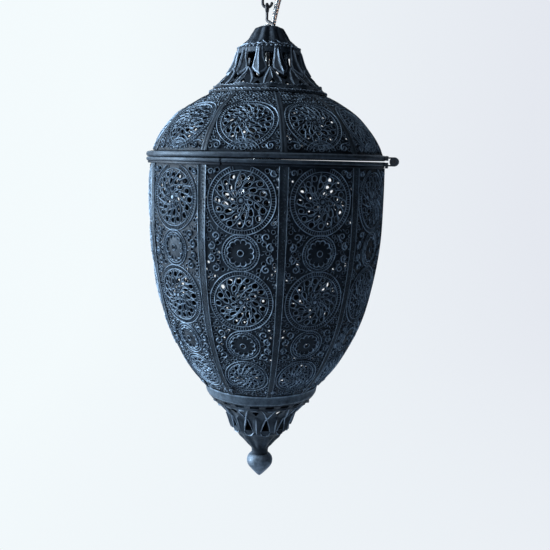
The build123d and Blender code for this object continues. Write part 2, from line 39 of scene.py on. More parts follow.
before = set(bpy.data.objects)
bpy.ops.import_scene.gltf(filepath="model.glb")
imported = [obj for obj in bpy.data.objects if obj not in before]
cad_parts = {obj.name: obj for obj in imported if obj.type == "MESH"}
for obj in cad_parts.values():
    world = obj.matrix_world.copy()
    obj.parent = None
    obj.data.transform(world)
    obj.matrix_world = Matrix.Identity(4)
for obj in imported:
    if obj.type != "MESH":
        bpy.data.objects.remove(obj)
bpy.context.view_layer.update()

MM = 0.001
RIM_Z = -198.0
GORES = 10
GORE_ANGLE = 2 * pi / GORES
CROWN_LEAVES = 11
CROWN_LEAF_ANGLE = radians(-91.0)
CROWN_LEAN = radians(5.4)
TAIL_LEAVES = 11
TAIL_LEAF_ANGLE = radians(-86.0)
FLATTEN = 90.0  # how far the axis of a panel's own curve stands behind the lantern's
SHEET = 0.9  # thickness of the panels
CROWN_CAST = 2.2  # thickness of the crown's casting
TAIL_CAST = 2.0  # thickness of the tail's casting
SEAM_GAP = 0.2  # from a panel's edge to the middle of its seam
TRIANGLE_ROW = 0.87  # height of a row in a grid of triangles with sides of 1
CAST_FLAT_R = 38.0  # radius at which a casting's pattern is laid out flat
SECTOR_SPLIT = 0.27  # where a casting's sectors meet, in sectors from a leaf's middle
RIM_NOTCH = (radians(-99.0) % (2 * pi), radians(0.42), 1.5)
RIM_R = 118.6
BODY_SEAM = [
    (116.5, -6.6), (116.7, -40.0), (115.5, -81.0), (109.7, -122.0), (99.4, -162.0),
    (79.5, -202.4), (59.2, -228.4),
]
DOME_SEAM = [
    (114.2, 5.6), (110.4, 14.6), (102.6, 26.6), (88.8, 42.0), (71.9, 53.5), (57.8, 60.9),
    (51.2, 63.6),
]
DOME_STRIP_TOP = (60.6, 59.5)
CROWN_BASE = [
    (8.0, 127.2), (11.2, 126.1), (13.0, 123.6), (15.2, 118.6), (18.6, 112.7), (22.4, 109.8),
    (27.6, 107.0), (30.0, 101.5), (31.4, 95.9), (33.4, 88.2), (38.0, 80.5), (46.4, 72.6),
    (56.3, 65.0), (58.4, 61.6),
]
TAIL_BASE = [
    (55.8, -238.3), (54.6, -240.2), (50.6, -244.0), (46.0, -247.5), (40.6, -252.1),
    (36.8, -256.5), (34.2, -260.5), (31.6, -267.8), (29.9, -274.0), (26.8, -279.1),
    (23.0, -282.4), (15.9, -290.3), (10.9, -297.5), (8.7, -302.4), (8.6, -307.0),
]
COLLAR_OUT = [(58.8, -228.5), (57.6, -232.7), (56.9, -236.4), (55.9, -238.2)]
FINIAL_OUT = [
    (4.4, -307.2), (9.0, -307.3), (11.8, -309.5), (13.3, -312.5), (13.4, -315.2),
    (13.0, -317.9), (11.4, -320.8), (8.7, -324.1), (5.4, -327.7), (2.4, -330.8), (0.0, -332.5),
]
random = np.random.default_rng(7)


# ---------------------------------------------------------------- meshes and profiles

class Build:
    """Collects vertices, faces and each vertex's wear, from 0 in a hollow to 1 on a ridge."""

    def __init__(self):
        self.verts, self.faces, self.wear, self.mats = [], [], [], []
        self.count = 0

    def add(self, verts, faces, wear, mat=0):
        verts = np.asarray(verts, float).reshape(-1, 3)
        self.verts.append(verts)
        self.wear.append(np.broadcast_to(np.asarray(wear, float), len(verts)))
        self.faces += [tuple(i + self.count for i in f) for f in faces]
        self.mats += [mat] * len(faces)
        self.count += len(verts)

    def mesh(self, name, materials, crease=38, weld=0.0):
        data = bpy.data.meshes.new(name)
        verts = np.concatenate(self.verts) * MM
        data.from_pydata(verts.tolist(), [], self.faces)
        for material in materials:
            data.materials.append(material)
        data.polygons.foreach_set("material_index", self.mats)
        wear = data.attributes.new("wear", "FLOAT", "POINT")
        wear.data.foreach_set("value", np.concatenate(self.wear).astype(np.float32))
        if weld:
            work = bmesh.new()
            work.from_mesh(data)
            bmesh.ops.remove_doubles(work, verts=work.verts, dist=weld * MM)
            work.to_mesh(data)
            work.free()
        data.validate()
        data.shade_smooth()
        data.set_sharp_from_angle(angle=radians(crease))
        return data


def add_object(name, data):
    obj = bpy.data.objects.new(name, data)
    bpy.context.scene.collection.objects.link(obj)
    return obj


def place_object(name, data, body, stands_for):
    obj = add_object(name, data)
    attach(obj, body)
    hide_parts(*stands_for)


def smooth_curve(points, per_span=10):
    """Catmull-Rom curve through the points."""
    p = np.array(points, float)
    p = np.vstack([2 * p[0] - p[1], p, 2 * p[-1] - p[-2]])
    out = []
    for i in range(1, len(p) - 2):
        for t in np.arange(per_span) / per_span:
            a, b, c, d = p[i - 1], p[i], p[i + 1], p[i + 2]
            out.append(0.5 * (
                2 * b + (c - a) * t + (2 * a - 5 * b + 4 * c - d) * t * t
                + (3 * b - a - 3 * c + d) * t ** 3
            ))
    out.append(p[-2])
    return np.array(out)


def grid_faces(rows, columns, closed_rows, closed_columns):
    """Quads between the points of a grid whose rows or columns may close on themselves."""
    faces = []
    for i in range(rows if closed_rows else rows - 1):
        j = (i + 1) % rows
        for q in range(columns if closed_columns else columns - 1):
            w = (q + 1) % columns
            faces.append((i * columns + q, j * columns + q, j * columns + w, i * columns + w))
    return faces


class Surface:
    """A profile turned about an upright axis that stands `back` behind the lantern's own."""

    def __init__(self, profile, back=0.0):
        dense = smooth_curve(profile)
        self.seam_r, self.h = dense[:, 0], dense[:, 1]
        r = self.seam_r
        if back:
            r = np.sqrt(r ** 2 + 2 * r * back * cos(GORE_ANGLE / 2) + back ** 2)
        self.r, self.back = r, back
        step = np.hypot(np.diff(r), np.diff(self.h))
        self.s = np.concatenate([[0], np.cumsum(step)])
        dr, dh = np.gradient(r, self.s), np.gradient(self.h, self.s)
        sign = 1 if self.h[-1] > self.h[0] else -1
        length = np.hypot(dr, dh)
        self.nr, self.nh = sign * dh / length, -sign * dr / length
        self.length = self.s[-1]

    def at_h(self, h):
        """Distance along the profile at a height."""
        order = np.argsort(self.h)
        return float(np.interp(h, self.h[order], self.s[order]))

    def radius(self, s):
        return np.interp(s, self.s, self.r)

    def half_width(self, s):
        """Half the width of a gore at a distance along its profile."""
        return np.interp(s, self.s, self.seam_r) * sin(GORE_ANGLE / 2) - SEAM_GAP

    def point(self, angle, s, lift):
        r = np.interp(s, self.s, self.r) + np.interp(s, self.s, self.nr) * lift
        z = np.interp(s, self.s, self.h) + np.interp(s, self.s, self.nh) * lift + RIM_Z
        return np.stack([r * np.cos(angle) - self.back, r * np.sin(angle), z], -1)

    def gore_point(self, u, s, lift):
        """A point of a gore, u to the side of its middle line."""
        return self.point(np.arcsin(u / self.radius(s)), s, lift)


def both_sides(right):
    """A closed outline from its right half: the first point's twin, the half, the other twins."""
    return [(-right[0][0], right[0][1])] + right + [(-x, h) for x, h in right[:0:-1] if x]


# ---------------------------------------------------------------- flat patterns

def circle(x, y, r, count=0):
    count = count or max(10, int(2 * pi * r / 1.9))
    t = np.arange(count) * 2 * pi / count
    return np.stack([x + r * np.cos(t), y + r * np.sin(t)], -1)


def oval(x, y, rx, ry, turn, count=12):
    """Oval of half-axes rx and ry, the first one turned from +x."""
    t = np.arange(count) * 2 * pi / count
    a, b = rx * np.cos(t), ry * np.sin(t)
    return np.stack([x + a * cos(turn) - b * sin(turn), y + a * sin(turn) + b * cos(turn)], -1)


def inside_polygon(points, polygon):
    x, y = points[:, 0], points[:, 1]
    hit = np.zeros(len(points), bool)
    for (x0, y0), (x1, y1) in zip(polygon, np.roll(polygon, -1, 0)):
        cross = (y0 > y) != (y1 > y)
        with np.errstate(divide="ignore", invalid="ignore"):
            at = (x1 - x0) * (y - y0) / (y1 - y0) + x0
        hit ^= cross & (x < at)
    return hit


class Pattern:
    """Holes, ridges and mounds drawn on a flat sheet, with round fields that stay clear."""

    def __init__(self, surface):
        self.surface = surface
        self.holes, self.ridges, self.mounds, self.dishes, self.fields = [], [], [], [], []

    def inside(self, u, s, margin):
        """Whether a point, or each of many, lies on the gore and clear of its edges."""
        wide = np.abs(u) < self.surface.half_width(s) - margin
        return wide & (s > margin) & (s < self.surface.length - margin)

    def hole(self, x, y, rx, ry=None, turn=0.0, rim=0.75):
        ry = ry or rx
        if not self.inside(x, y, max(rx, ry) + 1.3):
            return
        self.holes.append(oval(x, y, rx, ry, turn, 10 if max(rx, ry) < 1.3 else 14))
        if rim:
            self.ridges.append((oval(x, y, rx + 0.45, ry + 0.45, turn, 14), 1.15, rim, True))
        self.fields.append((x, y, max(rx, ry) + 0.9))

    def ridge(self, line, width, height, closed=False):
        line = np.asarray(line, float)
        keep = self.inside(line[:, 0], line[:, 1], 0.7)
        if keep.all():
            self.ridges.append((line, width, height, closed))
            return
        if closed:
            start = int(np.argmin(keep))
            line, keep = np.roll(line, -start, 0), np.roll(keep, -start)
        run = []
        for point, kept in zip(list(line) + [None], list(keep) + [False]):
            if kept:
                run.append(point)
                continue
            if len(run) > 1:
                self.ridges.append((np.array(run), width, height, False))
            run = []

    def mound(self, x, y, rx, ry, turn, height):
        if self.inside(x, y, 1.2):
            self.mounds.append((x, y, rx, ry, turn, height))

    def dish(self, x, y, r, height):
        self.dishes.append((x, y, r, height))

    def field(self, x, y, r):
        self.fields.append((x, y, r))

    def relief(self, x, y):
        """Height of the sheet itself: low domes under the medallions."""
        lift = 0.12 * np.sin(x * 0.21 + 1.0) * np.sin(y * 0.17)
        for cx, cy, r, height in self.dishes:
            d = np.hypot(x - cx, y - cy) / r
            lift = lift + height * np.clip(1 - d ** 2, 0, 1) ** 0.75
        return lift


def ladder_ring(p, x, y, r_out, r_in, pitch=2.25):
    """Two fine raised rings with close radial ticks between them."""
    p.ridge(circle(x, y, r_out), 1.45, 1.15, True)
    p.ridge(circle(x, y, r_in), 1.35, 1.05, True)
    mid = (r_out + r_in) / 2
    reach = (r_out - r_in) / 2 - 0.35
    count = round(2 * pi * mid / pitch)
    centre = np.array([x, y])
    for k in range(count):
        t = 2 * pi * k / count
        way = np.array([cos(t), sin(t)])
        p.ridge([centre + way * (mid - reach), centre + way * (mid + reach)], 1.15, 0.85)


def swirl(x, y, r0, r1, start, sweep, count=6):
    """A curved line from one radius to another that turns by `sweep` on the way."""
    t = np.linspace(0, 1, count)
    r, a = r0 + (r1 - r0) * t, start + sweep * t
    return np.stack([x + r * np.cos(a), y + r * np.sin(a)], -1)


def medallion(p, x, y, r, turn):
    """Round pierced flower in a ladder ring: three swirling rows of holes about a boss."""
    ladder_ring(p, x, y, r, r * 0.86)
    inner = r * 0.79
    p.dish(x, y, inner, 1.3)
    # Each row's number of holes; its radius and the holes' half-axes, as shares of r; their lean.
    rows = [(16, 0.70, 0.076, 0.084, 0.5), (12, 0.475, 0.074, 0.114, 0.75),
            (8, 0.255, 0.058, 0.086, 0.9)]
    for count, share, across, along, lean in rows:
        for k in range(count):
            jitter = random.uniform(-0.06, 0.06, 2)
            t = turn + 2 * pi * (k + 0.5 * (count == 12)) / count + jitter[0]
            d = r * share * (1 + jitter[1])
            grow = random.uniform(0.80, 1.14)
            hole_turn = t + pi / 2 + lean
            p.hole(x + d * cos(t), y + d * sin(t), r * across * grow, r * along * grow,
                   hole_turn, rim=0.95)
    for k in range(16):
        t = turn + 2 * pi * (k + 0.5) / 16
        p.ridge(swirl(x, y, r * 0.56, r * 0.80, t - 0.10, 0.20), 1.5, 1.05)
        p.mound(x + r * 0.815 * cos(t + 0.10), y + r * 0.815 * sin(t + 0.10), 1.25, 0.95, t, 0.85)
        p.ridge(swirl(x, y, r * 0.80, r * 0.80, t - 0.17, 0.30, 5), 0.9, 0.6)
    for k in range(12):
        t = turn + 2 * pi * k / 12
        p.ridge(swirl(x, y, r * 0.33, r * 0.60, t - 0.06, 0.36), 1.4, 1.05)
        p.mound(x + r * 0.60 * cos(t + 0.40), y + r * 0.60 * sin(t + 0.40), 1.1, 0.8, t, 0.8)
    for k in range(8):
        t = turn + 2 * pi * (k + 0.5) / 8
        p.ridge(swirl(x, y, r * 0.10, r * 0.36, t, 0.45), 1.25, 0.95)
    p.mound(x, y, r * 0.085, r * 0.085, 0, 1.4)
    p.ridge(circle(x, y, r * 0.12, 12), 1.0, 0.8, True)
    p.field(x, y, r + 0.8)


def rosette(p, x, y, r):
    """Scalloped flower with a plain dished middle and a pierced boss, in a ladder ring."""
    ladder_ring(p, x, y, r, r * 0.845, 2.1)
    lip = r * 0.735
    t = np.arange(96) * 2 * pi / 96
    cusp = np.abs(np.sin(6 * t))
    line = lip * (0.86 + 0.14 * cusp ** 0.7)
    p.ridge(np.stack([x + line * np.cos(t), y + line * np.sin(t)], -1), 1.9, 1.7, True)
    for k in range(12):
        a = pi * k / 6
        ends = [(x + lip * q * cos(a), y + lip * q * sin(a)) for q in (0.86, 0.70)]
        p.ridge(ends, 1.5, 0.9)
    p.dish(x, y, lip * 0.7, 0.9)
    p.ridge(circle(x, y, r * 0.165, 14), 1.3, 0.9, True)
    p.hole(x, y, r * 0.075, rim=0.0)
    p.field(x, y, r + 0.8)


def scroll(p, x, y, r, start, turns, hand, tail=None):
    """Spiral scroll that closes on its own middle, with a lead-in tail."""
    t = np.linspace(0, 1, 16)
    a = start + hand * 2 * pi * turns * t
    d = r * (1 - 0.80 * t)
    line = np.stack([x + d * np.cos(a), y + d * np.sin(a)], -1)
    if tail is not None:
        end = np.array([x, y]) + np.array(tail)
        mid = (end + line[0]) / 2 + 0.25 * (line[0] - np.array([x, y]))
        line = np.vstack([[end], [mid], line])
    p.ridge(line, 1.9, 1.9)
    p.mound(*line[-1], 1.05, 1.05, 0, 1.5)
    p.field(x, y, r + 0.8)


def side_scrolls(p, y, scale=1.0):
    """The scrolls and small holes on both sides of a rosette."""
    scrolls = [(22.6, -14.6, 4.1, 1), (26.4, -5.6, 3.9, -1), (26.4, 4.9, 3.9, 1),
               (22.4, 13.8, 4.1, -1)]
    holes = [(20.8, -8.3, 1.5), (24.0, -0.4, 1.35), (20.2, 8.8, 1.45), (17.2, -15.4, 1.35),
             (16.2, 15.2, 1.55), (29.3, -11.2, 1.2), (29.6, 9.6, 1.2), (28.4, -19.3, 1.3),
             (28.2, 18.6, 1.25)]
    for side in (-1, 1):
        for dx, dy, r, hand in scrolls:
            tail = (-side * 5.2, dy / abs(dy) * 1.9) if abs(dy) > 9 else (side * 0.6, -hand * 4.2)
            start = pi / 2 * hand if side > 0 else pi - pi / 2 * hand
            scroll(p, side * dx * scale, y + dy * scale, r, start, 1.2, hand * side, tail)
        for dx, dy, r in holes:
            p.hole(side * dx * scale, y + dy * scale, r, rim=0.7)


def filigree(p, width):
    """Small leaves, dots and pinholes over what the larger figures leave free."""
    spacing = 3.5
    rows = int(p.surface.length / (spacing * TRIANGLE_ROW)) + 1
    for j in range(rows):
        for i in range(-int(width / spacing) - 1, int(width / spacing) + 2):
            x = (i + 0.5 * (j % 2)) * spacing + random.uniform(-0.6, 0.6)
            y = j * spacing * TRIANGLE_ROW + random.uniform(-0.6, 0.6)
            if not p.inside(x, y, 1.6):
                continue
            if any(hypot(x - cx, y - cy) < r + 0.9 for cx, cy, r in p.fields):
                continue
            a, pick = random.uniform(0, 2 * pi), random.random()
            if pick < 0.38:
                p.hole(x, y, random.uniform(0.85, 1.4), rim=0.8)
            elif pick < 0.78:
                p.ridge(swirl(x - 1.6 * cos(a), y - 1.6 * sin(a), 0.2, 3.2, a - 0.4, 0.8, 4),
                        1.3, 0.85)
            else:
                p.mound(x, y, 1.3, 0.9, a, 0.8)


def body_pattern(surface):
    p = Pattern(surface)
    medallion(p, 0, 29.8, 30.2, 0.05)
    rosette(p, 0, 75.6, 16.6)
    medallion(p, 0, 120.3, 28.4, 0.30)
    rosette(p, 0, 164.8, 15.6)
    medallion(p, 0, 203.4, 20.2, 0.15)
    side_scrolls(p, 75.6)
    side_scrolls(p, 164.8, 0.86)
    for side in (-1, 1):
        scroll(p, side * 27.5, 5.6, 3.2, 0.6, 1.2, side, (-side * 3.6, -3.2))
        p.hole(side * 22.0, 4.0, 1.6)
        p.hole(side * 31.8, 11.0, 1.2)
        p.hole(side * 31.6, 3.4, 1.1)
        scroll(p, side * 17.5, 226.0, 2.6, 0.4, 1.1, side)
    filigree(p, 40)
    return p


def dome_pattern(surface):
    p = Pattern(surface)
    medallion(p, 0, surface.at_h(31.5), 27.2, 0.2)
    ladder_ring(p, 0, -5.0, 16.4, 13.6, 2.1)
    for k in range(5):
        a = pi * (k + 0.5) / 5
        p.ridge(circle(8.2 * cos(a), -5.0 + 8.2 * sin(a) + 1.0, 3.1, 12), 1.4, 1.1, True)
        p.mound(8.2 * cos(a), -5.0 + 8.2 * sin(a) + 1.0, 1.3, 1.3, 0, 0.9)
    p.field(0, -5, 17.2)
    for side in (-1, 1):
        scroll(p, side * 23.6, 5.4, 3.8, pi / 2, 1.3, side, (side * 6.2, 3.0))
        p.hole(side * 19.6, 11.2, 1.5)
        p.hole(side * 29.6, 4.2, 1.3)
        p.hole(side * 29.6, 15.0, 1.2)
        p.hole(side * 28.8, 20.8, 0.95)
    filigree(p, 36)
    return p


# ---------------------------------------------------------------- pierced sheet

def outline_points(left, right, spacing, length):
    """Closed outline of a sheet whose sides are given by two functions of s."""
    rows = np.linspace(0, length, int(ceil(length / spacing)) + 1)
    a = np.stack([[right(s) for s in rows], rows], -1)
    b = np.stack([[left(s) for s in rows], rows], -1)[::-1]
    top = np.linspace(a[-1, 0], b[0, 0], int(ceil(abs(a[-1, 0] - b[0, 0]) / spacing)) + 1)[1:-1]
    low = np.linspace(b[-1, 0], a[0, 0], int(ceil(abs(a[0, 0] - b[-1, 0]) / spacing)) + 1)[1:-1]
    top = np.stack([top, np.full(len(top), length)], -1)
    low = np.stack([low, np.zeros(len(low))], -1)
    return np.vstack([a, top, b, low])


def pierced_sheet(build, outline, holes, spacing, place, thickness, relief):
    """Two skins with the holes cut through them, and the holes' walls between the skins."""
    low, high = outline.min(0), outline.max(0)
    rows = int((high[1] - low[1]) / (spacing * TRIANGLE_ROW)) + 1
    grid = []
    for j in range(rows):
        x = np.arange(low[0], high[0], spacing) + 0.5 * spacing * (j % 2)
        grid.append(np.stack([x, np.full(len(x), low[1] + j * spacing * TRIANGLE_ROW)], -1))
    grid = np.vstack(grid)
    free = inside_polygon(grid, outline)
    edge = np.abs(grid[:, None, :] - outline[None, :, :])
    free &= np.hypot(edge[..., 0], edge[..., 1]).min(1) > spacing * 0.5
    for hole in holes:
        near = np.hypot(*(grid[:, None, :] - hole[None, :, :]).transpose(2, 0, 1)).min(1)
        free &= (near > spacing * 0.33) & ~inside_polygon(grid, hole)
    grid = grid[free]
    points = [outline] + list(holes) + [grid]
    edges, at = [], 0
    for loop in points[:-1]:
        n = len(loop)
        edges += [(at + i, at + (i + 1) % n) for i in range(n)]
        at += n
    flat = np.vstack(points)
    result = delaunay_2d_cdt([Vector(p) for p in flat.tolist()], edges, [], 0, 1e-5, True)
    verts = np.array([v[:] for v in result[0]])
    tris = np.array([t[:] for t in result[2]])
    centre = verts[tris].mean(1)
    keep = inside_polygon(centre, outline)
    for hole in holes:
        box_low, box_high = hole.min(0), hole.max(0)
        near = ((centre > box_low) & (centre < box_high)).all(1)
        index = np.nonzero(near & keep)[0]
        keep[index[inside_polygon(centre[index], hole)]] = False
    tris = tris[keep]
    a, b, c = (verts[tris[:, i]] for i in range(3))
    area = (b[:, 0] - a[:, 0]) * (c[:, 1] - a[:, 1]) - (b[:, 1] - a[:, 1]) * (c[:, 0] - a[:, 0])
    tris[area < 0] = tris[area < 0][:, ::-1]
    lift = relief(verts[:, 0], verts[:, 1])
    outer = place(verts[:, 0], verts[:, 1], lift)
    inner = place(verts[:, 0], verts[:, 1], lift - thickness)
    t = tris[0]
    normal = np.cross(outer[t[1]] - outer[t[0]], outer[t[2]] - outer[t[0]])
    if np.dot(normal, outer[t[0]] - inner[t[0]]) < 0:
        tris = tris[:, ::-1]
    count = len(verts)
    faces = [tuple(t) for t in tris.tolist()]
    faces += [(c + count, b + count, a + count) for a, b, c in tris.tolist()]
    used = {(f[i], f[(i + 1) % 3]): True for f in tris.tolist() for i in range(3)}
    rims = [e for e in used if (e[1], e[0]) not in used]
    faces += [(b, a, a + count, b + count) for a, b in rims]
    wear = np.concatenate([np.full(count, 0.10), np.zeros(count)])
    build.add(np.vstack([outer, inner]), faces, wear)


# A ridge's section: how far across (as a share of its width), how high (of its height) and wear.
RIDGE = [(-0.5, -0.15, 0.0), (-0.33, 0.60, 0.55), (0.0, 1.0, 1.0), (0.33, 0.60, 0.55),
         (0.5, -0.15, 0.0)]


def add_ridge(build, place, relief, line, width, height, closed):
    """Half-round bead along a line, fading at the ends of an open one."""
    n = len(line)
    after = np.roll(line, -1, 0) if closed else np.vstack([line[1:], 2 * line[-1] - line[-2]])
    before = np.roll(line, 1, 0) if closed else np.vstack([2 * line[0] - line[1], line[:-1]])
    run = after - before
    run /= np.maximum(np.hypot(run[:, 0], run[:, 1]), 1e-6)[:, None]
    side = np.stack([-run[:, 1], run[:, 0]], -1)
    size = np.ones(n)
    if not closed:
        size[0] = size[-1] = 0.45 if n > 2 else 0.8
    rows, wear = [], []
    for across, up, worn in RIDGE:
        at = line + side * (across * width * size)[:, None]
        lift = relief(at[:, 0], at[:, 1]) + up * height * size
        rows.append(place(at[:, 0], at[:, 1], lift))
        wear.append(np.full(n, worn * min(1.0, height)))
    k = len(RIDGE)
    verts = np.stack(rows, 1).reshape(-1, 3)
    faces = [f[:1] + f[:0:-1] for f in grid_faces(n, k, closed, False)]
    if not closed:
        faces += [tuple(range(k)), tuple(range((n - 1) * k + k - 1, (n - 1) * k - 1, -1))]
    build.add(verts, faces, np.stack(wear, 1).reshape(-1))


def add_mound(build, place, relief, x, y, rx, ry, turn, height):
    """Low oval dome."""
    rings = [(1.0, -0.1), (0.72, 0.62), (0.0, 1.0)]
    verts, wear = [], []
    for share, up in rings:
        at = oval(x, y, rx * share, ry * share, turn, 8) if share else np.array([[x, y]])
        lift = relief(at[:, 0], at[:, 1]) + up * height
        verts.append(place(at[:, 0], at[:, 1], lift))
        wear += [max(0.0, up) * min(1.0, height)] * len(at)
    faces = [(i, (i + 1) % 8, 8 + (i + 1) % 8, 8 + i) for i in range(8)]
    faces += [(8 + i, 8 + (i + 1) % 8, 16) for i in range(8)]
    build.add(np.vstack(verts), faces, wear)


def panel_mesh(name, surface, pattern, material):
    build = Build()
    gore = surface.gore_point
    outline = outline_points(lambda s: -surface.half_width(s), surface.half_width, 3.0,
                             surface.length)
    pierced_sheet(build, outline, pattern.holes, 2.7, gore, SHEET, pattern.relief)
    for ridge in pattern.ridges:
        add_ridge(build, gore, pattern.relief, *ridge)
    for mound in pattern.mounds:
        add_mound(build, gore, pattern.relief, *mound)
    return build.mesh(name, [material])


# ---------------------------------------------------------------- turned and cast pieces

def repeat_round(build, count, first=0.0):
    """The same part `count` times round the lantern, the first one at the angle `first`."""
    verts, wear = np.concatenate(build.verts), np.concatenate(build.wear)
    whole = Build()
    for k in range(count):
        t = first + 2 * pi / count * k
        spin = np.array([[cos(t), -sin(t), 0], [sin(t), cos(t), 0], [0, 0, 1]])
        whole.add(verts @ spin.T, build.faces, wear)
    return whole


def turned_mesh(build, section, wear, count, wobble, closed=True, notch=None, tilt=0.0):
    """A section of (radius, h) turned about Z. A notch is (angle, half width, depth)."""
    angles = list(np.arange(count) * 2 * pi / count)
    if notch:
        at, half, depth = notch
        angles = [a for a in angles if abs((a - at + pi) % (2 * pi) - pi) > 2.5 * half]
        angles += [(at + q * half) % (2 * pi) for q in (-1.25, -1.0, -0.9, 0.9, 1.0, 1.25)]
    angles = np.sort(np.array(angles))
    section = np.array(section, float)
    n, m = len(angles), len(section)
    rows = []
    for a in angles:
        r, h = section[:, 0].copy(), section[:, 1].copy()
        r = r + wobble * (sin(3 * a + 0.7) + 0.6 * sin(7 * a + 2.0) + 0.4 * sin(17 * a))
        if notch and abs((a - at + pi) % (2 * pi) - pi) < half * 0.95:
            middle = section[:, 0].mean()
            r = np.where(section[:, 0] > middle, r - depth, r)
        rows.append(np.stack([r * cos(a), r * sin(a), h + tilt * cos(a) + RIM_Z], -1))
    faces = grid_faces(n, m, True, closed)
    build.add(np.vstack(rows), faces, np.tile(np.array(wear, float), n))


def cast_mesh(profile, sector_holes, relief, ridges, mounds, leaves, first, cast):
    """Openwork bell: one sector between two leaves, repeated all round.

    Holes, ridges and mounds are given in (angle, h) from the middle of a leaf, and the
    first leaf's middle stands at the angle `first`."""
    surface = Surface(profile)

    def flat(angle, h):
        return np.array([angle * CAST_FLAT_R, surface.at_h(h)])

    def place(u, s, lift):
        return surface.point(u / CAST_FLAT_R, s, lift)

    def lift_at(u, s):
        h = np.interp(s, surface.s, surface.h)
        return relief(u / CAST_FLAT_R, h, surface.radius(s))

    build = Build()
    pitch = 2 * pi / leaves
    split = pitch * SECTOR_SPLIT
    left, right = (split - pitch) * CAST_FLAT_R, split * CAST_FLAT_R
    outline = outline_points(lambda s: left, lambda s: right, 1.7, surface.length)
    holes = [np.array([flat(a, h) for a, h in hole]) for hole in sector_holes]
    pierced_sheet(build, outline, holes, 1.55, place, cast, lift_at)
    for line, width, height in ridges:
        at = np.array([flat(a, h) for a, h in line])
        add_ridge(build, place, lift_at, at, width, height, False)
    for a, h, rx, ry, turn, height in mounds:
        add_mound(build, place, lift_at, *flat(a, h), rx, ry, turn, height)
    return repeat_round(build, leaves, first)


def polygon_at(angle, surface, points):
    """Points given as (mm to the side, h) about an angle, turned into (angle, h)."""
    return [(angle + x / float(surface.radius(surface.at_h(h))), h) for x, h in points]


# ---------------------------------------------------------------- materials

def node(tree, kind, **settings):
    made = tree.nodes.new(kind)
    for key, value in settings.items():
        setattr(made, key, value)
    return made


def mix_colour(tree, factor, first, second):
    mix = node(tree, "ShaderNodeMix", data_type="RGBA")
    for socket, value in ((0, factor), (6, first), (7, second)):
        if isinstance(value, bpy.types.NodeSocket):
            tree.links.new(value, mix.inputs[socket])
        else:
            mix.inputs[socket].default_value = value
    return mix.outputs[2]


def remap(tree, value, low, high, to_low, to_high):
    made = node(tree, "ShaderNodeMapRange")
    tree.links.new(value, made.inputs["Value"])
    for name, number in (("From Min", low), ("From Max", high), ("To Min", to_low),
                         ("To Max", to_high)):
        made.inputs[name].default_value = number
    return made.outputs["Result"]


def multiply(tree, a, b):
    made = node(tree, "ShaderNodeMath", operation="MULTIPLY")
    for socket, value in zip(made.inputs, (a, b)):
        if isinstance(value, bpy.types.NodeSocket):
            tree.links.new(value, socket)
        else:
            socket.default_value = value
    return made.outputs[0]


def noise(tree, coords, scale, detail=4.0, rough=0.55):
    made = node(tree, "ShaderNodeTexNoise")
    made.inputs["Scale"].default_value = scale
    made.inputs["Detail"].default_value = detail
    made.inputs["Roughness"].default_value = rough
    tree.links.new(coords, made.inputs["Vector"])
    return made.outputs[0]


def start_material(name):
    material = bpy.data.materials.new(name)
    material.use_nodes = True
    tree = material.node_tree
    coords = node(tree, "ShaderNodeTexCoord").outputs["Object"]
    return material, tree, tree.nodes["Principled BSDF"], coords


def add_bump(tree, shader, height, strength, distance):
    bump = node(tree, "ShaderNodeBump")
    bump.inputs["Strength"].default_value = strength
    bump.inputs["Distance"].default_value = distance
    tree.links.new(height, bump.inputs["Height"])
    tree.links.new(bump.outputs["Normal"], shader.inputs["Normal"])


def aged_metal(name, dark, dust, bare, rough, edge=0.9, grain=0.35):
    """Blackened metal: dark patina, dust in patches, worn paler where the wear value is high."""
    material, tree, shader, coords = start_material(name)
    shift = node(tree, "ShaderNodeVectorMath", operation="ADD")
    tree.links.new(coords, shift.inputs[0])
    spread = multiply(tree, node(tree, "ShaderNodeObjectInfo").outputs["Random"], 7.0)
    tree.links.new(spread, shift.inputs[1])
    at = shift.outputs[0]
    large, fine = noise(tree, at, 34.0, 5.0), noise(tree, at, 420.0, 3.0)
    patch = remap(tree, large, 0.42, 0.70, 0.0, 0.75)
    colour = mix_colour(tree, patch, dark, dust)
    wear = node(tree, "ShaderNodeAttribute", attribute_name="wear").outputs["Fac"]
    broken = remap(tree, noise(tree, at, 150.0, 4.0, 0.7), 0.35, 0.68, 0.25, 1.0)
    worn = multiply(tree, multiply(tree, multiply(tree, wear, wear), broken), edge)
    colour = mix_colour(tree, worn, colour, bare)
    tree.links.new(colour, shader.inputs["Base Color"])
    shader.inputs["Specular IOR Level"].default_value = 0.2
    shader.inputs["Metallic"].default_value = 0.45
    tree.links.new(remap(tree, fine, 0.25, 0.75, *rough), shader.inputs["Roughness"])
    add_bump(tree, shader, noise(tree, at, 650.0, 4.0, 0.6), grain, 0.0004)
    return material


def plain_surface(name, first, second, rough, metallic=0.0, grain=0.08, transmission=0.0):
    """Plastic, plated metal or glass with a slight mottling of colour and sheen."""
    material, tree, shader, coords = start_material(name)
    cloud = noise(tree, coords, 60.0, 4.0)
    factor = remap(tree, cloud, 0.3, 0.7, 0.0, 1.0)
    tree.links.new(mix_colour(tree, factor, first, second), shader.inputs["Base Color"])
    sheen = remap(tree, noise(tree, coords, 360.0, 3.0), 0.3, 0.7, *rough)
    tree.links.new(sheen, shader.inputs["Roughness"])
    shader.inputs["Metallic"].default_value = metallic
    shader.inputs["Transmission Weight"].default_value = transmission
    shader.inputs["IOR"].default_value = 1.48
    add_bump(tree, shader, noise(tree, coords, 540.0, 3.0), grain, 0.0003)
    return material


